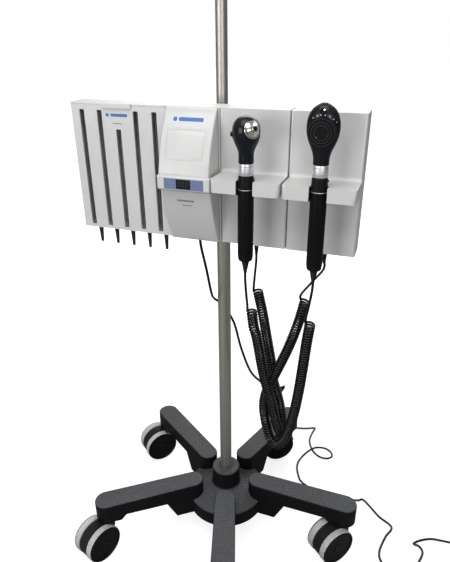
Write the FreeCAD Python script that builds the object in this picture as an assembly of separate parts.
import FreeCAD, Part

import math
import os

# Mobile diagnostic station: a five-arm caster stand with a telescopic pole that carries a speculum
# dispenser, a control module and two cradles, each with a corded instrument.
# Units are millimetres. Z is up, the origin is on the floor on the pole axis, the front faces -Y.

V = FreeCAD.Vector
ORIGIN = V(0, 0, 0)
X_DIR = V(1, 0, 0)
Y_DIR = V(0, 1, 0)
Z_DIR = V(0, 0, 1)
HALF_TURN = 180
QUARTER_TURN = 90
FULL_TURN = 360

# ---- datum ----
# heights in this file are given above a datum plane; every piece is raised by DATUM to stand on the floor
DATUM = 6

# ---- running fits ----
RUNNING_GAP = 0.05
FREE_GAP = 0.4
SEAM_GAP = 0.3

# ---- base ----
ARM_ANGLES = {"a": 216, "b": 144, "c": 72, "d": 0, "e": 288}
TRAIL_ANGLES = {"a": 250, "b": 230, "c": 217, "d": 230, "e": 235}
ARM_END_R = 272.5
ARM_ROOT_R = 77
ARM_END_HALF = 24
ARM_ROOT_HALF = 21.8
ARM_END_TOP = 122.5
ARM_ROOT_TOP = 127.5
ARM_WEB_BOTTOM = 90
ARM_BOSS_BOTTOM = 77
HUB_R = 87
HUB_BOTTOM = 45
HUB_RIM_TOP = 85
HUB_CONE_TOP = 101
COLLAR_FOOT_R = 31.2
COLLAR_TOP_R = 29.5
COLLAR_TOP = 146.5

# ---- casters ----
WHEEL_R = 41
WHEEL_Z = WHEEL_R - DATUM
TREAD_DEPTH = 6
WHEEL_TRAIL = 35
WHEEL_INNER = 12.6
WHEEL_OUTER = 29
AXLE_R = 4
STEM_R = 5.5
STEM_TOP = 108

# ---- pole ----
OUTER_POLE_R = 12.5
OUTER_POLE_WALL = 1.5
OUTER_POLE_FOOT = 80
OUTER_POLE_TOP = 760
INNER_POLE_R = 9.5
INNER_POLE_WALL = 1.2
INNER_POLE_FOOT = 400
INNER_POLE_TOP = 1170
POLE_COLLAR_BOTTOM = 742
POLE_COLLAR_TOP = 788
KNOB_Z = 774

# ---- station ----
STATION_BOTTOM = 727
STATION_TOP = 938
STATION_BACK = -52
STATION_FRONT = -94
DISPENSER_LEFT = -229
CONTROL_LEFT = -57.5
HOLDER_A_LEFT = 30.3
HOLDER_B_LEFT = 138.5
STATION_RIGHT = 246
MODULE_SEAM = 1.4
CONTROL_SEAM = 0.4
WALL = 2.5
RAIL_THICKNESS = 6

# ---- dispenser ----
SLOT_X = [-209, -176.5, -144, -111.5, -79]
SLOT_WIDTH = 9
SLOT_BOTTOM = 732
SLOT_TOP = 927
MIDDLE_SLOT_TOP = 898
MIDDLE_SLOT = 2
STACK_TOPS = [832, 813, 766, 794, 837]
COLUMN_Y = -75
COLUMN_BORE_R = 6.2
COLUMN_TUBE_R = 8
SPECULUM_TIP_Z = 693
SPECULUM_TIP_R = 2.4
SPECULUM_BASE_R = 4.9
SPECULUM_RIM_R = 5.3

# ---- control module ----
BAND_BOTTOM = 821
BAND_TOP = 842
BAND_FRONT = -142

# ---- holders ----
LEDGE_BOTTOM = 824
LEDGE_TOP = 844
LEDGE_FRONT = -147
LEDGE_INSET = 2.3
OTO_X = 85.5
OPH_X = 193
HANDLE_Y = -137
HANDLE_R = 12
HANDLE_BOTTOM = 719
OPH_HANDLE_BOTTOM = 712.5
HANDLE_TOP = 832.3
NOTCH_R = 12.9
LINER_R = 12.1

# ---- instruments ----
SPIGOT_R = 9.95
RING_TOP = 852.3
COLLAR_R = 11
COLLAR_HEIGHT = 17.2
HEAD_SPIGOT_R = 8
NOSE_Z = 913
NOSE_AZIMUTH = -45
NOSE_RISE = 17
FLANGE_R = 12.3
NOSE_BORE_R = 10.5
PIVOT_OFFSET = 12.6
OPH_AZIMUTH = -88
DIAL_Z = 914.5
EYE_Z = 941.5
OPH_RISE = 5.5
FACE_DEPTH = 14
CORD_R = 1.9
COIL_R = 8.3
MAINS_R = 2.5
LEAD_BEND = 30
COIL_BEND = 60

PARTS = {}


def cylinder(radius, bottom, top, x=0, y=0):
    return Part.makeCylinder(radius, top - bottom, V(x, y, bottom), Z_DIR)


def rod(radius, start, end):
    direction = end.sub(start)
    return Part.makeCylinder(radius, direction.Length, start, direction)


def cone(bottom_r, top_r, bottom, top, x=0, y=0):
    return Part.makeCone(bottom_r, top_r, top - bottom, V(x, y, bottom), Z_DIR)


def block(x0, x1, y0, y1, z0, z1):
    return Part.makeBox(x1 - x0, y1 - y0, z1 - z0, V(x0, y0, z0))


def soften(shape, radius, chosen):
    edges = [edge for edge in shape.Edges if chosen(edge)]
    return shape.makeFillet(radius, edges)


def is_upright(edge):
    ends = [vertex.Point for vertex in edge.Vertexes]
    if len(ends) < 2:
        return False
    flat = math.hypot(ends[0].x - ends[1].x, ends[0].y - ends[1].y)
    return flat < 1e-6


def revolved(profile, centre=ORIGIN, axis=Z_DIR):
    wire = Part.makePolygon(profile + [profile[0]])
    return Part.Face(wire).revolve(centre, axis, FULL_TURN)


def turned(shape, angle, centre=ORIGIN, axis=Z_DIR):
    copy = shape.copy()
    copy.rotate(centre, axis, angle)
    return copy


def moved(shape, x=0, y=0, z=0):
    copy = shape.copy()
    copy.translate(V(x, y, z))
    return copy


def spline_edge(points):
    curve = Part.BSplineCurve()
    curve.interpolate(points)
    return curve.toShape()


def rounded_path(points, bend):
    # straight runs joined by circular arcs, each arc tangent to both runs
    edges = []
    here = points[0]
    for index in range(1, len(points) - 1):
        corner = points[index]
        before = corner.sub(points[index - 1])
        after = points[index + 1].sub(corner)
        room = 0.45 * min(before.Length, after.Length)
        before.normalize()
        after.normalize()
        half_turn = before.getAngle(after) / 2
        if half_turn < 1e-3:
            continue
        setback = min(bend * math.tan(half_turn), room)
        radius = setback / math.tan(half_turn)
        inward = after.sub(before)
        inward.normalize()
        start = corner.sub(before * setback)
        end = corner.add(after * setback)
        middle = corner.add(inward * (radius / math.cos(half_turn) - radius))
        edges.append(Part.makeLine(here, start))
        edges.append(Part.Arc(start, middle, end).toShape())
        here = end
    edges.append(Part.makeLine(here, points[-1]))
    return Part.Wire(edges)


def tube(points, radius, bend):
    path = rounded_path(points, bend)
    tangent = points[1].sub(points[0])
    circle = Part.Wire([Part.Edge(Part.Circle(points[0], tangent, radius))])
    return path.makePipeShell([circle], True, False)


def fused(first, *others):
    return first.multiFuse(list(others)).removeSplitter()


def keep(name, shape):
    PARTS[name] = moved(shape, 0, 0, DATUM)


def group(name, shapes):
    PARTS[name] = moved(Part.makeCompound(shapes), 0, 0, DATUM)


# =====================================================================================
# Base
# =====================================================================================
def arm_plan(root_half, end_half, bottom, top):
    root = cylinder(root_half, bottom, top, ARM_ROOT_R)
    end = cylinder(end_half, bottom, top, ARM_END_R)
    corners = [
        V(ARM_ROOT_R, -root_half, bottom),
        V(ARM_END_R, -end_half, bottom),
        V(ARM_END_R, end_half, bottom),
        V(ARM_ROOT_R, root_half, bottom),
    ]
    web = Part.Face(Part.makePolygon(corners + [corners[0]])).extrude(V(0, 0, top - bottom))
    return fused(web, root, end)


def make_arm():
    reach = 30
    depth = 60
    slope = (ARM_END_TOP - ARM_ROOT_TOP) / (ARM_END_R - ARM_ROOT_R)
    inner = ARM_ROOT_R - reach
    outer = ARM_END_R + reach
    rib_foot = 48
    rib_end = 122
    rib_rise = 143
    boss_start = 245
    boss_rise = 12
    outline = [
        V(inner, -depth, rib_foot),
        V(rib_end, -depth, rib_foot),
        V(rib_rise, -depth, ARM_WEB_BOTTOM),
        V(boss_start - boss_rise, -depth, ARM_WEB_BOTTOM),
        V(boss_start, -depth, ARM_BOSS_BOTTOM),
        V(outer, -depth, ARM_BOSS_BOTTOM),
        V(outer, -depth, ARM_END_TOP + slope * reach),
        V(inner, -depth, ARM_ROOT_TOP - slope * reach),
    ]
    side = Part.Face(Part.makePolygon(outline + [outline[0]])).extrude(V(0, 2 * depth, 0))
    plan = arm_plan(ARM_ROOT_HALF, ARM_END_HALF, 0, ARM_ROOT_TOP + reach)
    arm = side.common(plan).removeSplitter()
    edge_radius = 3
    top_level = ARM_END_TOP - reach / 3
    arm = soften(arm, edge_radius, lambda e: e.BoundBox.ZMin > top_level)
    pocket_from = 140
    pocket_to = 225
    pocket_half = 13
    pocket_roof = 113
    pocket = block(pocket_from, pocket_to, -pocket_half, pocket_half, 0, pocket_roof)
    return arm.cut(pocket)


def make_base():
    sleeve_r = 17
    bore_floor = 60
    bolt_clearance = 5.5
    recess_r = 14
    recess_top = 53
    socket_top = 110
    skirt_r = HUB_R - 4
    hub = revolved([
        V(0, 0, HUB_BOTTOM),
        V(skirt_r, 0, HUB_BOTTOM),
        V(HUB_R, 0, HUB_BOTTOM + 5),
        V(HUB_R, 0, HUB_RIM_TOP - 2),
        V(HUB_R - 2, 0, HUB_RIM_TOP),
        V(COLLAR_FOOT_R + 3, 0, HUB_CONE_TOP),
        V(COLLAR_FOOT_R, 0, HUB_CONE_TOP + 4),
        V(COLLAR_TOP_R + 1, 0, COLLAR_TOP - 2),
        V(COLLAR_TOP_R - 1, 0, COLLAR_TOP),
        V(0, 0, COLLAR_TOP),
    ])
    arm = make_arm()
    arms = [turned(arm, angle) for angle in ARM_ANGLES.values()]
    star = fused(hub, *arms)
    star = star.cut(cylinder(sleeve_r, bore_floor, COLLAR_TOP + 1))
    star = star.cut(cylinder(bolt_clearance, HUB_BOTTOM - 1, bore_floor + 1))
    star = star.cut(cylinder(recess_r, HUB_BOTTOM - 1, recess_top))
    for angle in ARM_ANGLES.values():
        socket = cylinder(STEM_R + RUNNING_GAP, ARM_BOSS_BOTTOM - 1, socket_top, ARM_END_R)
        star = star.cut(turned(socket, angle))
    keep("base_star", star)

    thread_r = 5
    lip = 1.5
    bush = revolved([
        V(thread_r, 0, bore_floor),
        V(sleeve_r, 0, bore_floor),
        V(sleeve_r, 0, COLLAR_TOP - lip),
        V(sleeve_r - lip, 0, COLLAR_TOP),
        V(OUTER_POLE_R, 0, COLLAR_TOP),
        V(OUTER_POLE_R, 0, OUTER_POLE_FOOT),
        V(thread_r, 0, OUTER_POLE_FOOT),
    ])
    keep("pole_bush", bush)

    head_top = recess_top
    head_bottom = recess_top - 6.5
    head_across = 9.8
    corners = []
    for index in range(7):
        turn = math.radians(60 * index)
        corners.append(V(head_across * math.cos(turn), head_across * math.sin(turn), head_bottom))
    hexagon = Part.Face(Part.makePolygon(corners)).extrude(V(0, 0, head_top - head_bottom))
    shank = cylinder(thread_r, head_bottom, OUTER_POLE_FOOT - 2)
    keep("base_bolt", fused(hexagon, shank))


# =====================================================================================
# Casters, built at the origin with the trail along +X, then placed under an arm end
# =====================================================================================
def make_caster(letter):
    flange_r = 18
    flange_bottom = 71
    web_half = 11.8
    web_r = WHEEL_R - 1.3
    web_round = 2
    stem = cylinder(STEM_R, ARM_BOSS_BOTTOM, STEM_TOP)
    flange = cylinder(flange_r, flange_bottom, ARM_BOSS_BOTTOM - RUNNING_GAP)
    joint = cylinder(STEM_R, flange_bottom, ARM_BOSS_BOTTOM + 1)
    disc = revolved([
        V(0, -web_half, 0),
        V(web_r - web_round, -web_half, 0),
        V(web_r, web_round - web_half, 0),
        V(web_r, web_half - web_round, 0),
        V(web_r - web_round, web_half, 0),
        V(0, web_half, 0),
    ], ORIGIN, Y_DIR)
    disc = moved(disc, WHEEL_TRAIL, 0, WHEEL_Z)
    neck_back = -13
    neck_foot = 46
    neck_centre = neck_back + web_half
    neck_plate = block(neck_centre, WHEEL_TRAIL, -web_half, web_half, neck_foot, flange_bottom + 1)
    neck = neck_plate.fuse(cylinder(web_half, neck_foot, flange_bottom + 1, neck_centre))
    fork = fused(disc, neck, flange, joint, stem)
    axle_bore = Part.makeCylinder(AXLE_R + RUNNING_GAP, 4 * web_half, V(WHEEL_TRAIL, -2 * web_half, WHEEL_Z), Y_DIR)
    fork = fork.cut(axle_bore)

    hub_r = WHEEL_R - TREAD_DEPTH
    cover_r = WHEEL_R - 1.2
    cover_thickness = 2.4
    dish = 1.6
    boss_r = 9
    rim_inner = cover_r - 4
    tread_outer = WHEEL_OUTER - cover_thickness
    half_profile = [
        V(0, 0, 0),
        V(AXLE_R, 0, 0),
        V(AXLE_R, WHEEL_INNER, 0),
        V(hub_r, WHEEL_INNER, 0),
        V(hub_r, tread_outer, 0),
        V(cover_r, tread_outer, 0),
        V(cover_r, WHEEL_OUTER - 1, 0),
        V(cover_r - 1, WHEEL_OUTER, 0),
        V(rim_inner, WHEEL_OUTER, 0),
        V(rim_inner - 1, WHEEL_OUTER - dish, 0),
        V(boss_r + 1, WHEEL_OUTER - dish, 0),
        V(boss_r, WHEEL_OUTER, 0),
        V(0, WHEEL_OUTER, 0),
    ]
    half = revolved(half_profile, ORIGIN, Y_DIR)
    other = half.mirror(ORIGIN, Y_DIR)
    wheel = fused(half, other)
    round_off = 1.5
    tread_profile = [
        V(hub_r, WHEEL_INNER, 0),
        V(WHEEL_R - round_off, WHEEL_INNER, 0),
        V(WHEEL_R, WHEEL_INNER + round_off, 0),
        V(WHEEL_R, tread_outer - round_off, 0),
        V(cover_r, tread_outer, 0),
        V(hub_r, tread_outer, 0),
    ]
    tread = revolved(tread_profile, ORIGIN, Y_DIR)
    treads = [tread, tread.mirror(ORIGIN, Y_DIR)]

    def place(shape, on_axle):
        if on_axle:
            shape = moved(shape, WHEEL_TRAIL, 0, WHEEL_Z)
        arm_turn = math.radians(ARM_ANGLES[letter])
        shape = turned(shape, TRAIL_ANGLES[letter])
        return moved(shape, ARM_END_R * math.cos(arm_turn), ARM_END_R * math.sin(arm_turn))

    keep("caster_" + letter + "_fork", place(fork, False))
    keep("caster_" + letter + "_wheels", place(wheel, True))
    group("caster_" + letter + "_treads", [place(ring, True) for ring in treads])


# =====================================================================================
# Pole
# =====================================================================================
def make_pole():
    outer = cylinder(OUTER_POLE_R, OUTER_POLE_FOOT, OUTER_POLE_TOP)
    keep("outer_pole", outer.cut(cylinder(OUTER_POLE_R - OUTER_POLE_WALL, OUTER_POLE_FOOT, OUTER_POLE_TOP)))

    cap = 3
    inner = cylinder(INNER_POLE_R, INNER_POLE_FOOT, INNER_POLE_TOP)
    inner = soften(inner, 1.5, lambda e: e.BoundBox.ZMin > INNER_POLE_TOP - 1 and e.BoundBox.XMin < -1)
    inner = inner.cut(cylinder(INNER_POLE_R - INNER_POLE_WALL, INNER_POLE_FOOT, INNER_POLE_TOP - cap))
    # shallow groove that marks the seat of the bracket; the free pole starts above it
    groove_r = INNER_POLE_R - 0.3
    groove_bottom = 910.5
    groove_top = 914
    groove = cylinder(INNER_POLE_R + 1, groove_bottom, groove_top)
    inner = inner.cut(groove.cut(cylinder(groove_r, groove_bottom, groove_top)))
    keep("inner_pole", inner)

    body_r = 17.5
    neck_r = 13
    collar = revolved([
        V(OUTER_POLE_R, 0, POLE_COLLAR_BOTTOM),
        V(body_r - 2, 0, POLE_COLLAR_BOTTOM),
        V(body_r, 0, POLE_COLLAR_BOTTOM + 2),
        V(body_r, 0, POLE_COLLAR_TOP - 8),
        V(neck_r, 0, POLE_COLLAR_TOP),
        V(INNER_POLE_R + RUNNING_GAP, 0, POLE_COLLAR_TOP),
        V(INNER_POLE_R + RUNNING_GAP, 0, OUTER_POLE_TOP),
        V(OUTER_POLE_R, 0, OUTER_POLE_TOP),
    ])
    stud_r = 4
    boss_r = 8
    boss_end = 24
    boss = rod(boss_r, V(0, INNER_POLE_R + 2, KNOB_Z), V(0, boss_end, KNOB_Z))
    collar = fused(collar, boss)
    collar = collar.cut(rod(stud_r + RUNNING_GAP, V(0, INNER_POLE_R - 1, KNOB_Z), V(0, boss_end + 1, KNOB_Z)))
    keep("height_collar", collar)

    knob_start = boss_end + 1.5
    knob_end = knob_start + 15
    knob_r = 15
    scallop_r = 4
    scallops = 8
    knob = rod(knob_r, V(0, knob_start, KNOB_Z), V(0, knob_end, KNOB_Z))
    for index in range(scallops):
        turn = math.radians(FULL_TURN * index / scallops)
        reach = knob_r + 1.5
        x = reach * math.cos(turn)
        z = KNOB_Z + reach * math.sin(turn)
        knob = knob.cut(rod(scallop_r, V(x, knob_start - 1, z), V(x, knob_end + 1, z)))
    stud = rod(stud_r, V(0, INNER_POLE_R + 2 * RUNNING_GAP, KNOB_Z), V(0, knob_start + 2, KNOB_Z))
    keep("height_knob", fused(knob, stud))


# =====================================================================================
# Bracket and rail
# =====================================================================================
def make_bracket():
    clamp_bottom = 852
    clamp_top = 910
    clamp_half = 24
    flange_half = 46
    flange_back = -40
    rail_back = STATION_BACK + RAIL_THICKNESS
    gap = 1
    thread_r = 2.5
    clearance_r = 2.75
    head_r = 4.5
    head_height = 3.5
    shank = 11.4
    strap_back = 13
    pocket_floor = 6
    strap_screw_x = 16
    rail_screw_x = 37
    rows = [864, 898]

    flange = block(-flange_half, flange_half, rail_back, flange_back, clamp_bottom, clamp_top)
    flange = soften(flange, 5, lambda e: e.Length < 7)
    body = block(-clamp_half, clamp_half, flange_back - 1, -gap, clamp_bottom, clamp_top)
    bracket = fused(flange, body)
    bracket = bracket.cut(cylinder(INNER_POLE_R, clamp_bottom - 1, clamp_top + 1))
    strap = block(-clamp_half, clamp_half, gap, strap_back, clamp_bottom, clamp_top)
    strap = soften(strap, 4, lambda e: is_upright(e) and e.BoundBox.YMin > gap + 1)
    strap = strap.cut(cylinder(INNER_POLE_R, clamp_bottom - 1, clamp_top + 1))

    rail_left = DISPENSER_LEFT + 8
    rail_right = STATION_RIGHT - 8
    rail_bottom = 752
    rail_top = 918
    rail = block(rail_left, rail_right, STATION_BACK, rail_back, rail_bottom, rail_top)
    rail = soften(rail, 8, lambda e: e.Length < 7)

    screws = []
    for z in rows:
        for side in (-1, 1):
            x = side * strap_screw_x
            bracket = bracket.cut(rod(thread_r, V(x, pocket_floor - shank - 1, z), V(x, 0, z)))
            strap = strap.cut(rod(clearance_r, V(x, 0, z), V(x, strap_back + 1, z)))
            strap = strap.cut(rod(head_r + FREE_GAP, V(x, pocket_floor, z), V(x, strap_back + 1, z)))
            pin = rod(thread_r, V(x, pocket_floor - shank, z), V(x, pocket_floor, z))
            head = rod(head_r, V(x, pocket_floor, z), V(x, pocket_floor + head_height, z))
            screws.append(fused(pin, head))
            x = side * rail_screw_x
            bracket = bracket.cut(rod(clearance_r, V(x, rail_back - 1, z), V(x, flange_back + 1, z)))
            rail = rail.cut(rod(thread_r, V(x, STATION_BACK - 1, z), V(x, rail_back + 1, z)))
            pin = rod(thread_r, V(x, flange_back - shank, z), V(x, flange_back, z))
            head = rod(head_r, V(x, flange_back, z), V(x, flange_back + head_height, z))
            screws.append(fused(pin, head))
    keep("pole_bracket", bracket)
    keep("bracket_strap", strap)
    keep("back_plate", rail)
    group("bracket_screws", screws)


# =====================================================================================
# Speculum dispenser
# =====================================================================================
def make_dispenser():
    right = CONTROL_LEFT - CONTROL_SEAM
    cover_back = STATION_FRONT + WALL
    lid_bottom = STATION_TOP - 3
    corner = 4
    outer = block(DISPENSER_LEFT, right, cover_back, STATION_BACK, STATION_BOTTOM, lid_bottom)
    outer = soften(outer, corner, lambda e: is_upright(e) and e.BoundBox.YMin > STATION_BACK - 1)
    inner = block(
        DISPENSER_LEFT + WALL,
        right - WALL,
        cover_back - 1,
        STATION_BACK - WALL,
        STATION_BOTTOM + WALL,
        lid_bottom + 1,
    )
    case = outer.cut(inner)
    tube_top = 925
    tubes = [cylinder(COLUMN_TUBE_R, STATION_BOTTOM + 1, tube_top, x, COLUMN_Y) for x in SLOT_X]
    stays = []
    for x in SLOT_X:
        stays.append(block(x - 1, x + 1, COLUMN_Y, STATION_BACK - 1, STATION_BOTTOM + 1, tube_top))
    case = fused(case, *(tubes + stays))
    exit_r = 5.45
    for index, x in enumerate(SLOT_X):
        case = case.cut(cylinder(COLUMN_BORE_R, STATION_BOTTOM + WALL, tube_top + 1, x, COLUMN_Y))
        case = case.cut(cylinder(exit_r, STATION_BOTTOM - 1, STATION_BOTTOM + WALL + 1, x, COLUMN_Y))
        half = SLOT_WIDTH / 2
        top = MIDDLE_SLOT_TOP if index == MIDDLE_SLOT else SLOT_TOP
        window = block(x - half, x + half, cover_back - 1, COLUMN_Y, SLOT_BOTTOM, top)
        case = case.cut(window)
    keep("dispenser_case", case)

    cover = block(DISPENSER_LEFT, right, STATION_FRONT, cover_back, STATION_BOTTOM, lid_bottom)
    cover = soften(cover, 2, lambda e: is_upright(e) and e.BoundBox.YMax < STATION_FRONT + 1)
    for index, x in enumerate(SLOT_X):
        half = SLOT_WIDTH / 2
        top = MIDDLE_SLOT_TOP if index == MIDDLE_SLOT else SLOT_TOP
        window = block(x - half, x + half, STATION_FRONT - 1, cover_back + 1, SLOT_BOTTOM, top)
        window = soften(window, 1.5, lambda e: e.BoundBox.YLength > WALL)
        cover = cover.cut(window)
    keep("dispenser_cover", cover)

    tab_left = -171
    tab_right = -118
    pin_r = 1.2
    pin_y = STATION_BACK - 3
    pin_z = STATION_TOP - 1.5
    lid = block(DISPENSER_LEFT, right, STATION_FRONT, STATION_BACK - 1, lid_bottom + SEAM_GAP, STATION_TOP)
    lid = soften(lid, 1, lambda e: e.BoundBox.ZMin > STATION_TOP - 1)
    tab_front = STATION_FRONT - 2.6
    tab = block(tab_left, tab_right, tab_front, STATION_FRONT - 0.15, lid_bottom - 4, STATION_TOP - 0.6)
    root = block(tab_left, tab_right, tab_front, STATION_FRONT + 1, lid_bottom + SEAM_GAP, STATION_TOP - 0.6)
    lid = fused(lid, tab, root)
    lid = lid.cut(block(DISPENSER_LEFT - 1, right + 1, pin_y - 3, STATION_BACK + 1, 0, STATION_TOP + 1))
    knuckle = rod(pin_r, V(DISPENSER_LEFT + 4, pin_y, pin_z), V(right - 4, pin_y, pin_z))
    leaf = block(DISPENSER_LEFT + 4, right - 4, pin_y - 3, pin_y, pin_z - 1, pin_z + 1)
    keep("dispenser_lid", fused(lid, leaf, knuckle))

    # one nested column of specula per tube, drawn with a rim at each cone
    pitch = 6
    first = 737
    stacks = []
    for x, last in zip(SLOT_X, STACK_TOPS):
        profile = [V(x, COLUMN_Y, first)]
        level = first
        while level < last:
            profile.append(V(x + SPECULUM_BASE_R, COLUMN_Y, level))
            profile.append(V(x + SPECULUM_BASE_R, COLUMN_Y, level + pitch - 1.5))
            profile.append(V(x + SPECULUM_RIM_R, COLUMN_Y, level + pitch - 1.5))
            profile.append(V(x + SPECULUM_RIM_R, COLUMN_Y, level + pitch))
            level = level + pitch
        profile.append(V(x, COLUMN_Y, level))
        stacks.append(revolved(profile, V(x, COLUMN_Y, 0)))
    group("specula_stacks", stacks)

    rim_bottom = 733.6
    rim_top = 735.6
    skin = 0.8
    for index, x in enumerate(SLOT_X):
        cone_profile = [
            V(x + SPECULUM_TIP_R - skin, COLUMN_Y, SPECULUM_TIP_Z),
            V(x + SPECULUM_TIP_R, COLUMN_Y, SPECULUM_TIP_Z),
            V(x + SPECULUM_TIP_R + 0.5, COLUMN_Y, SPECULUM_TIP_Z + 8),
            V(x + SPECULUM_BASE_R, COLUMN_Y, rim_bottom),
            V(x + SPECULUM_RIM_R, COLUMN_Y, rim_bottom),
            V(x + SPECULUM_RIM_R, COLUMN_Y, rim_top),
            V(x + SPECULUM_BASE_R - skin, COLUMN_Y, rim_top),
            V(x + SPECULUM_TIP_R - skin + 0.5, COLUMN_Y, SPECULUM_TIP_Z + 8),
        ]
        keep("speculum_" + str(index + 1), revolved(cone_profile, V(x, COLUMN_Y, 0)))


# =====================================================================================
# Control module
# =====================================================================================
def bulge_outline(inset, x):
    # front surface of the control module seen from the side, pushed back by inset
    back = STATION_FRONT + SEAM_GAP / 2
    brow = V(x, -98.5 + inset, 932.5 - inset / 2)
    chin = V(x, -137 + inset, BAND_TOP + 3)
    step_top = V(x, -137 + inset, BAND_BOTTOM - 1 + inset)
    step_low = V(x, -130.5 + inset, BAND_BOTTOM - 5 + inset)
    foot = V(x, -99 + inset, STATION_BOTTOM + inset)
    crown = V(x, back, STATION_TOP - inset)
    edges = [
        Part.Arc(crown, V(x, -96.8 + inset * 0.8, 936.2 - inset * 0.8), brow).toShape(),
        Part.Arc(brow, V(x, -121 + inset, 893), chin).toShape(),
        Part.makeLine(chin, step_top),
        Part.makeLine(step_top, step_low),
        Part.Arc(step_low, V(x, -119.5 + inset, 776), foot).toShape(),
        Part.makeLine(foot, V(x, back, STATION_BOTTOM + inset)),
        Part.makeLine(V(x, back, STATION_BOTTOM + inset), crown),
    ]
    return Part.Face(Part.Wire(edges))


def pad_column(inset):
    # the outline of the key pad on the control module, as a column along the depth
    left = -46.5 + inset
    right = 15.5 - inset
    bottom = 866 + inset
    top = 905 - inset
    wave = 2
    middle = (left + right) / 2
    far = -200
    lower = Part.Arc(V(left, far, bottom), V(middle, far, bottom - wave), V(right, far, bottom))
    upper = Part.Arc(V(right, far, top), V(middle, far, top + wave), V(left, far, top))
    edges = [
        lower.toShape(),
        Part.makeLine(V(right, far, bottom), V(right, far, top)),
        upper.toShape(),
        Part.makeLine(V(left, far, top), V(left, far, bottom)),
    ]
    return Part.Face(Part.Wire(edges)).extrude(V(0, STATION_FRONT - 6 - far, 0))


def is_side_edge(edge, left, right):
    # edges of the front outline where it meets the two end faces
    box = edge.BoundBox
    at_end = box.XLength < 0.01 and (abs(box.XMin - left) < 0.01 or abs(box.XMin - right) < 0.01)
    curved_front = box.YMin < STATION_FRONT - 1 and box.ZLength > 12
    return at_end and curved_front


def make_control():
    left = CONTROL_LEFT
    right = HOLDER_A_LEFT - CONTROL_SEAM
    case = block(left, right, STATION_FRONT + SEAM_GAP / 2, STATION_BACK, STATION_BOTTOM, STATION_TOP)
    case = soften(case, 4, lambda e: is_upright(e) and e.BoundBox.YMin > STATION_BACK - 1)
    case = case.cut(block(
        left + WALL,
        right - WALL,
        STATION_FRONT - 1,
        STATION_BACK - WALL,
        STATION_BOTTOM + WALL,
        STATION_TOP - WALL,
    ))
    cord_hole_x = -22
    cord_hole_y = -62
    cord_hole = MAINS_R + 1
    case = case.cut(cylinder(cord_hole, STATION_BOTTOM - 1, STATION_BOTTOM + WALL + 1, cord_hole_x, cord_hole_y))
    keep("control_case", case)

    cover_left = left + 1.2
    cover_right = right - 3
    skin = bulge_outline(0, cover_left).extrude(V(cover_right - cover_left, 0, 0))
    hollow = bulge_outline(WALL, cover_left + WALL).extrude(V(cover_right - cover_left - 2 * WALL, 0, 0))
    hollow = fused(hollow, moved(hollow, 0, 1, 0))
    side_round = 2.5
    skin = soften(skin, side_round, lambda e: is_side_edge(e, cover_left, cover_right))
    cover = skin.cut(hollow)
    groove_width = 0.7
    groove_depth = 0.5
    frame = pad_column(0).cut(pad_column(groove_width))
    groove = skin.cut(moved(skin, 0, groove_depth, 0)).common(frame)
    cover = cover.cut(groove)
    band_left = cover_left - 0.5
    band_right = right - 0.2
    seat = block(band_left, band_right, BAND_FRONT - 1, -130, BAND_BOTTOM, BAND_TOP)
    cover = cover.cut(seat)
    keep("control_cover", cover)

    panel_left = -45
    panel_right = 20
    panel_bottom = 822.5
    panel_top = 839
    panel_back = BAND_FRONT + 1.2
    band_back = -132
    band = block(band_left, band_right, BAND_FRONT, band_back, BAND_BOTTOM, BAND_TOP)
    band = soften(band, 2, lambda e: e.BoundBox.YMax < BAND_FRONT + 1)
    band = band.cut(block(panel_left, panel_right, BAND_FRONT - 1, panel_back, panel_bottom, panel_top))
    keep("control_band", band)

    window_left = -25
    window_right = -1
    window_bottom = panel_bottom + 0.9
    window_top = panel_top - 0.9
    face = BAND_FRONT + 0.3
    panel = block(panel_left, panel_right, face, panel_back, panel_bottom, panel_top)
    panel = panel.cut(block(window_left, window_right, face - 1, panel_back + 1, window_bottom, window_top))
    keep("key_panel", panel)
    keep("lcd_window", block(window_left, window_right, face + 0.2, panel_back, window_bottom, window_top))

    board_front = -72
    board_thickness = 1.6
    board = block(left + 8, right - 8, board_front, board_front + board_thickness, 745, 925)
    windings = block(-45, -5, board_front - 28, board_front + 0.5, 752, 790)
    capacitor = rod(8, V(12, board_front + 0.5, 765), V(12, board_front - 20, 765))
    keep("power_board", fused(board, windings, capacitor))


# =====================================================================================
# Instrument holders
# =====================================================================================
def make_holder(left, right, centre_x, lead_x):
    body = block(left, right, STATION_FRONT, STATION_BACK, STATION_BOTTOM, STATION_TOP)
    body = soften(body, 3, is_upright)
    ledge = block(left + LEDGE_INSET, right, LEDGE_FRONT, STATION_FRONT + 5, LEDGE_BOTTOM, LEDGE_TOP)
    ledge = soften(ledge, 5, lambda e: is_upright(e) and e.BoundBox.YMax < LEDGE_FRONT + 1)
    holder = fused(body, ledge)
    fillet_r = 6
    holder = soften(holder, fillet_r, lambda e: is_root_edge(e, left, right))
    hollow = block(
        left + WALL,
        right - WALL,
        STATION_FRONT + WALL,
        STATION_BACK + 1,
        STATION_BOTTOM + WALL,
        STATION_TOP - WALL,
    )
    holder = holder.cut(hollow)
    notch = cylinder(NOTCH_R, LEDGE_BOTTOM - 1, LEDGE_TOP + 1, centre_x, HANDLE_Y)
    throat = block(
        centre_x - NOTCH_R,
        centre_x + NOTCH_R,
        LEDGE_FRONT - 1,
        HANDLE_Y,
        LEDGE_BOTTOM - 1,
        LEDGE_TOP + 1,
    )
    holder = holder.cut(notch).cut(throat)
    lead_y = -75
    lead_hole = cylinder(CORD_R + 1, STATION_BOTTOM - 1, STATION_BOTTOM + WALL + 1, lead_x, lead_y)
    return holder.cut(lead_hole)


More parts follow.
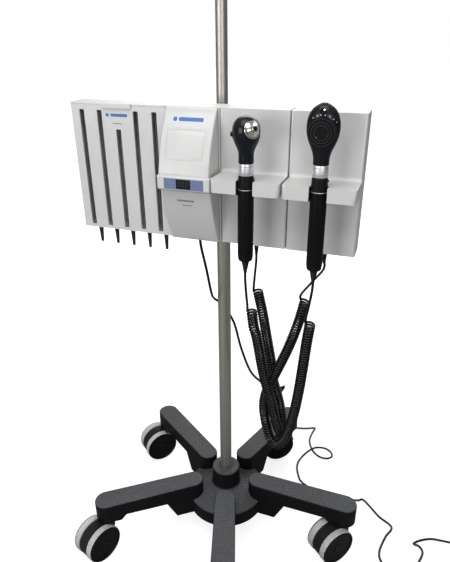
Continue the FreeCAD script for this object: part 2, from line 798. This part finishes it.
def is_root_edge(edge, left, right):
    box = edge.BoundBox
    along_x = box.XLength > right - left - 8
    at_wall = abs(box.YMin - STATION_FRONT) < 0.01 and box.YLength < 0.01
    at_ledge_top = abs(box.ZMin - LEDGE_TOP) < 0.01 and box.ZLength < 0.01
    return along_x and at_wall and at_ledge_top


def make_liner(centre_x):
    height_below = 1.5
    bottom = LEDGE_BOTTOM - height_below
    sleeve = cylinder(NOTCH_R, bottom, LEDGE_TOP, centre_x, HANDLE_Y)
    throat = block(centre_x - NOTCH_R, centre_x + NOTCH_R, LEDGE_FRONT + 2, HANDLE_Y, bottom, LEDGE_TOP)
    liner = fused(sleeve, throat)
    liner = liner.cut(cylinder(LINER_R, bottom - 1, LEDGE_TOP + 1, centre_x, HANDLE_Y))
    gap = block(centre_x - LINER_R, centre_x + LINER_R, LEDGE_FRONT - 20, HANDLE_Y, bottom - 1, LEDGE_TOP + 1)
    return liner.cut(gap)


def make_holders():
    right_a = HOLDER_B_LEFT - MODULE_SEAM
    keep("otoscope_holder", make_holder(HOLDER_A_LEFT, right_a, OTO_X, 85))
    keep("ophthalmoscope_holder", make_holder(HOLDER_B_LEFT, STATION_RIGHT, OPH_X, 198))
    group("cradle_liners", [make_liner(OTO_X), make_liner(OPH_X)])


# =====================================================================================
# Instruments, built on the Z axis and then moved to their cradle
# =====================================================================================
def make_handle(foot):
    grooves = 14
    groove_r = 1.1
    groove_bottom = 730
    groove_top = 812
    handle = revolved([
        V(3, 0, foot),
        V(10, 0, foot),
        V(HANDLE_R - 1, 0, foot + 1.5),
        V(HANDLE_R - 0.4, 0, foot + 5.4),
        V(HANDLE_R - 0.8, 0, foot + 5.8),
        V(HANDLE_R - 0.8, 0, foot + 6.4),
        V(HANDLE_R - 0.2, 0, foot + 6.8),
        V(HANDLE_R, 0, foot + 12),
        V(HANDLE_R, 0, HANDLE_TOP - 2),
        V(HANDLE_R - 0.4, 0, HANDLE_TOP),
        V(SPIGOT_R, 0, HANDLE_TOP),
        V(SPIGOT_R, 0, RING_TOP),
        V(7, 0, RING_TOP),
        V(7, 0, foot + 12),
        V(3, 0, foot + 10),
    ])
    for index in range(grooves):
        turn = math.radians(FULL_TURN * index / grooves)
        reach = HANDLE_R + groove_r - 0.5
        x = reach * math.cos(turn)
        y = reach * math.sin(turn)
        handle = handle.cut(cylinder(groove_r, groove_bottom, groove_top, x, y))
    return handle


def make_ring():
    ribs = 24
    rib_r = 0.7
    base = HANDLE_TOP + RUNNING_GAP * 2
    top = RING_TOP - RUNNING_GAP * 2
    ring = revolved([
        V(SPIGOT_R + RUNNING_GAP, 0, base),
        V(HANDLE_R, 0, base),
        V(HANDLE_R, 0, base + 3),
        V(COLLAR_R + 0.1, 0, top - 1),
        V(COLLAR_R - 0.4, 0, top),
        V(SPIGOT_R + RUNNING_GAP, 0, top),
    ])
    for index in range(ribs):
        turn = math.radians(FULL_TURN * (index + 0.5) / ribs)
        reach = HANDLE_R + 0.45
        x = reach * math.cos(turn)
        y = reach * math.sin(turn)
        ring = ring.cut(cylinder(rib_r, base + 3, top - 1, x, y))
    button_z = top - 4
    button = rod(1.6, V(SPIGOT_R + 0.6, 0, button_z), V(HANDLE_R + 1.4, 0, button_z))
    return fused(ring, button)


def make_collar():
    top = RING_TOP + COLLAR_HEIGHT
    seat = top - 9
    return revolved([
        V(0, 0, RING_TOP),
        V(COLLAR_R - 0.5, 0, RING_TOP),
        V(COLLAR_R, 0, RING_TOP + 0.5),
        V(COLLAR_R, 0, top - 0.5),
        V(COLLAR_R - 0.5, 0, top),
        V(HEAD_SPIGOT_R + RUNNING_GAP, 0, top),
        V(HEAD_SPIGOT_R + RUNNING_GAP, 0, seat),
        V(0, 0, seat),
    ])


def aimed(shape):
    # turn a piece built along +X onto the nose direction, through the nose centre
    shape = turned(shape, -NOSE_RISE, ORIGIN, Y_DIR)
    shape = turned(shape, NOSE_AZIMUTH)
    return moved(shape, 0, 0, NOSE_Z)


def x_ring(profile):
    return revolved([V(x, r, 0) for x, r in profile], ORIGIN, X_DIR)


def smooth_body(profile):
    # revolve a smooth outline given as (radius, height) from the bottom up
    points = [V(r, 0, z) for r, z in profile]
    side = spline_edge(points)
    bottom = Part.makeLine(V(0, 0, points[0].z), points[0])
    top = Part.makeLine(points[-1], V(0, 0, points[-1].z))
    axis = Part.makeLine(V(0, 0, points[-1].z), V(0, 0, points[0].z))
    return Part.Face(Part.Wire([bottom, side, top, axis])).revolve(ORIGIN, Z_DIR, FULL_TURN)


def make_oto_head():
    foot = RING_TOP + COLLAR_HEIGHT + RUNNING_GAP * 2
    bulb = smooth_body([
        (COLLAR_R, foot),
        (11.1, foot + 8),
        (11.4, foot + 15),
        (13.8, foot + 22),
        (17.6, foot + 30.5),
        (19.7, foot + 39.5),
        (20, foot + 46),
        (18.1, foot + 54.5),
        (12.3, foot + 62),
        (3, foot + 65.2),
    ])
    rear = -22.5
    front = 16
    barrel = aimed(x_ring([
        (rear, 0),
        (rear, 11.6),
        (rear + 1.5, 13),
        (-10, 16.6),
        (0, 17),
        (14, 14.2),
        (front, 13.4),
        (front, 0),
    ]))
    pivot_boss = aimed(rod(3.2, V(rear, 0, PIVOT_OFFSET), V(-10, 0, PIVOT_OFFSET)))
    nub_z = 910
    nub = turned(rod(3.3, V(0, 0, nub_z), V(22.6, 0, nub_z)), -165)
    spigot = cylinder(HEAD_SPIGOT_R, foot - 8, foot + 1)
    head = fused(bulb, barrel, pivot_boss, nub, spigot)
    view_r = 9
    head = head.cut(aimed(x_ring([(-24, 0), (-24, view_r), (9, view_r), (9, NOSE_BORE_R), (17, NOSE_BORE_R), (17, 0)])))
    head = head.cut(aimed(x_ring([(front, 0), (front, FLANGE_R + 0.3), (30, FLANGE_R + 0.3), (30, 0)])))
    lamp_r = 3.4
    lamp_well = cylinder(lamp_r, foot - 9, NOSE_Z)
    head = head.cut(lamp_well)
    pivot_r = 1.5
    pivot = aimed(rod(pivot_r + RUNNING_GAP, V(-24, 0, PIVOT_OFFSET), V(-15, 0, PIVOT_OFFSET)))
    return head.cut(pivot)


def make_oto_lamp():
    foot = RING_TOP + COLLAR_HEIGHT
    stem = cylinder(3.4, foot - 6, foot + 12)
    bulb = cylinder(2.4, foot + 12, foot + 20)
    dome = Part.makeSphere(2.4, V(0, 0, foot + 20))
    return fused(stem, bulb, dome)


def make_speculum_mount():
    sleeve = NOSE_BORE_R - RUNNING_GAP
    return aimed(x_ring([
        (9.5, sleeve),
        (16.1, sleeve),
        (16.1, FLANGE_R),
        (18.6, FLANGE_R),
        (19.2, FLANGE_R - 0.6),
        (19.4, 10.4),
        (20.6, 8.9),
        (22.4, 7.2),
        (24.6, 5.6),
        (27.4, 4.4),
        (28, 4),
        (28, 3),
        (24, 4),
        (20, 6.6),
        (9.5, 9),
    ]))


def make_oto_lens():
    # swinging magnifier: a disc with a lug that turns on a pin at its top edge
    disc = aimed(x_ring([(-25.4, 0), (-25.4, 11), (-24.9, 11.6), (-22.7, 11.6), (-22.7, 0)]))
    lug = aimed(rod(3, V(-25.4, 0, PIVOT_OFFSET), V(-22.7, 0, PIVOT_OFFSET)))
    pin = aimed(rod(1.5, V(-24, 0, PIVOT_OFFSET), V(-16, 0, PIVOT_OFFSET)))
    return fused(disc, lug, pin)


def ellipse_wire(half_x, half_y, z):
    ellipse = Part.Ellipse(V(0, 0, z), half_x, half_y)
    return Part.Wire([ellipse.toShape()])


def make_oph_head():
    foot = RING_TOP + COLLAR_HEIGHT + RUNNING_GAP * 2
    sections = [
        (11.1, 11, foot),
        (11.4, 11.1, foot + 8),
        (13.4, 11.6, foot + 17),
        (17.6, 12.6, foot + 27),
        (21.4, 13.4, foot + 38),
        (22.7, 13.6, foot + 49),
        (21.4, 13.2, foot + 60.5),
        (17, 11.6, foot + 70.5),
        (10.5, 8.2, foot + 77.2),
        (4, 3.6, foot + 80.5),
    ]
    head = Part.makeLoft([ellipse_wire(a, b, z) for a, b, z in sections], True, False)
    seat_r = 19.6
    seat = rod(seat_r, V(0, -1, DIAL_Z), V(0, -FACE_DEPTH, DIAL_Z))
    rear = rod(14.5, V(0, 1, DIAL_Z), V(0, FACE_DEPTH, DIAL_Z))
    spigot = cylinder(HEAD_SPIGOT_R, foot - 8, foot + 1)
    head = fused(head, seat, rear, spigot)
    head = head.cut(rod(2.6, V(0, -20, EYE_Z), V(0, 20, EYE_Z)))
    head = head.cut(Part.makeCone(6.4, 2.6, 7, V(0, -15, EYE_Z), Y_DIR))
    head = head.cut(rod(2 + RUNNING_GAP, V(0, -FACE_DEPTH - 1, DIAL_Z), V(0, -4, DIAL_Z)))
    head = head.cut(rod(2 + RUNNING_GAP, V(0, 4, DIAL_Z), V(0, FACE_DEPTH + 1, DIAL_Z)))
    return turned(head, OPH_AZIMUTH + QUARTER_TURN)


def make_lens_wheel():
    front = FACE_DEPTH + RUNNING_GAP * 2
    rim = rod(19, V(0, -front, DIAL_Z), V(0, -front - 3, DIAL_Z))
    face = rod(14.5, V(0, -front - 2, DIAL_Z), V(0, -front - 5, DIAL_Z))
    shaft = rod(2, V(0, -front - 1, DIAL_Z), V(0, -5, DIAL_Z))
    wheel = fused(rim, face, shaft)
    notches = 20
    for index in range(notches):
        turn = math.radians(FULL_TURN * index / notches)
        x = 19.8 * math.cos(turn)
        z = DIAL_Z + 19.8 * math.sin(turn)
        wheel = wheel.cut(rod(1.3, V(x, -front - 4, z), V(x, -front + 1, z)))
    return turned(wheel, OPH_AZIMUTH + QUARTER_TURN)


def make_aperture_dial():
    front = FACE_DEPTH + RUNNING_GAP * 2
    rim = rod(12.5, V(0, front, DIAL_Z), V(0, front + 3.5, DIAL_Z))
    shaft = rod(2, V(0, front + 1, DIAL_Z), V(0, 5, DIAL_Z))
    dial = fused(rim, shaft)
    flats = 12
    for index in range(flats):
        turn = math.radians(FULL_TURN * index / flats)
        x = 13.4 * math.cos(turn)
        z = DIAL_Z + 13.4 * math.sin(turn)
        dial = dial.cut(rod(1.6, V(x, front - 1, z), V(x, front + 5, z)))
    return turned(dial, OPH_AZIMUTH + QUARTER_TURN)


def make_instruments():
    button_turn = -15
    keep("oto_handle", moved(make_handle(HANDLE_BOTTOM), OTO_X, HANDLE_Y))
    keep("oto_switch_ring", moved(turned(make_ring(), button_turn), OTO_X, HANDLE_Y))
    keep("oto_collar", moved(make_collar(), OTO_X, HANDLE_Y))
    keep("oto_head", moved(make_oto_head(), OTO_X, HANDLE_Y))
    keep("oto_lamp", moved(make_oto_lamp(), OTO_X, HANDLE_Y))
    keep("oto_speculum_mount", moved(make_speculum_mount(), OTO_X, HANDLE_Y))
    keep("oto_lens", moved(make_oto_lens(), OTO_X, HANDLE_Y))
    keep("oph_handle", moved(make_handle(OPH_HANDLE_BOTTOM), OPH_X, HANDLE_Y, OPH_RISE))
    keep("oph_switch_ring", moved(turned(make_ring(), button_turn), OPH_X, HANDLE_Y, OPH_RISE))
    keep("oph_collar", moved(make_collar(), OPH_X, HANDLE_Y, OPH_RISE))
    keep("oph_head", moved(make_oph_head(), OPH_X, HANDLE_Y, OPH_RISE))
    keep("oph_lens_wheel", moved(make_lens_wheel(), OPH_X, HANDLE_Y, OPH_RISE))
    keep("oph_aperture_dial", moved(make_aperture_dial(), OPH_X, HANDLE_Y, OPH_RISE))


# =====================================================================================
# Cords: smooth envelopes of the coiled and straight runs
# =====================================================================================
def make_coil_cord(handle_x, handle_foot, plug_x, coil_points):
    boot_top = handle_foot - SEAM_GAP
    boot_foot = boot_top - 22
    boot = cone(3, 6, boot_foot, boot_top, handle_x, HANDLE_Y)
    first = coil_points[0]
    second = coil_points[1]
    last = coil_points[-1]
    before_last = coil_points[-2]
    lead_in = tube([
        V(handle_x, HANDLE_Y, boot_foot + 4),
        V(handle_x, HANDLE_Y, boot_foot - 10),
        V((handle_x + first.x) / 2, (HANDLE_Y + first.y) / 2, (boot_foot + first.z) / 2 - 4),
        first,
        V((first.x * 9 + second.x) / 10, (first.y * 9 + second.y) / 10, (first.z * 9 + second.z) / 10),
    ], CORD_R, LEAD_BEND)
    plug_y = -75
    plug_bottom = STATION_BOTTOM - 24
    lead_out = tube([
        V(plug_x, plug_y, plug_bottom + 3),
        V(plug_x, plug_y, plug_bottom - 12),
        V((plug_x + last.x) / 2, (plug_y + last.y) / 2, (plug_bottom + last.z) / 2),
        last,
        V((last.x * 9 + before_last.x) / 10, (last.y * 9 + before_last.y) / 10, (last.z * 9 + before_last.z) / 10),
    ], CORD_R, LEAD_BEND)
    plug = cone(2.4, 4.4, plug_bottom, STATION_BOTTOM - SEAM_GAP, plug_x, plug_y)
    coil = tube(coil_points, COIL_R, COIL_BEND)
    return fused(coil, lead_in, lead_out, boot, plug)


def make_cords():
    keep("oto_cord", make_coil_cord(OTO_X, HANDLE_BOTTOM, 85, [
        V(90, -114, 612),
        V(100, -112, 567),
        V(114, -110, 490),
        V(130, -107, 435),
        V(144, -106, 384),
        V(147, -90, 350),
        V(139, -74, 384),
        V(122, -73, 452),
        V(111, -75, 543),
        V(90, -84, 637),
    ]))
    keep("oph_cord", make_coil_cord(OPH_X, OPH_HANDLE_BOTTOM + OPH_RISE, 198, [
        V(191, -124, 611),
        V(184, -122, 527),
        V(178, -120, 474),
        V(164, -118, 402),
        V(146, -116, 346),
        V(126, -108, 334),
        V(111, -97, 372),
        V(109, -92, 420),
        V(131, -90.5, 493),
        V(150, -91, 546),
        V(171, -84, 634),
    ]))
    floor = MAINS_R + 0.4 - DATUM
    plug_x = 512
    plug_y = 78
    run = tube([
        V(-22, -62, STATION_BOTTOM - SEAM_GAP),
        V(-20, -61, 700),
        V(-13, -56, 655),
        V(-12, -38, 600),
        V(-20, -6, 570),
        V(-10, 18, 548),
        V(12, 22, 510),
        V(28, 22, 452),
        V(52, 8, 415),
        V(90, -22, 402),
        V(124, -24, 412),
        V(122, 0, 350),
        V(106, 110, 200),
        V(107, 225, 70),
        V(90, 308, 16),
        V(64, 345, floor),
        V(141, 372, floor),
        V(136, 310, floor),
        V(176, 262, floor),
        V(200, 288, floor),
        V(150, 286, floor),
        V(126, 215, floor),
        V(155, 149, floor),
        V(200, 132, floor),
        V(302, 142, floor),
        V(376, 84, floor),
        V(356, 10, floor),
        V(388, -42, floor),
        V(439, 11, floor),
        V(445, 60, floor),
        V(plug_x - 8, plug_y, floor + 6),
        V(plug_x + 2, plug_y, floor + 8),
    ], MAINS_R, LEAD_BEND)
    plug_length = 34
    plug_half = 12
    plug_foot = 0.5 - DATUM
    plug = block(plug_x, plug_x + plug_length, plug_y - plug_half, plug_y + plug_half, plug_foot, plug_foot + 2 * plug_half)
    plug = soften(plug, 5, lambda e: e.Length < plug_length and e.BoundBox.XLength < 1)
    blades = []
    for side in (-1, 1):
        start = V(plug_x + plug_length - 2, plug_y + side * 6, plug_foot + plug_half)
        blades.append(rod(2, start, V(start.x + 20, start.y, start.z)))
    keep("mains_cord", fused(run, plug, *blades))


make_base()
for caster_letter in ARM_ANGLES:
    make_caster(caster_letter)
make_pole()
make_bracket()
make_dispenser()
make_control()
make_holders()
make_instruments()
make_cords()

os.makedirs("parts", exist_ok=True)
for part_name, part_shape in PARTS.items():
    part_shape.exportStep("parts/" + part_name + ".step")
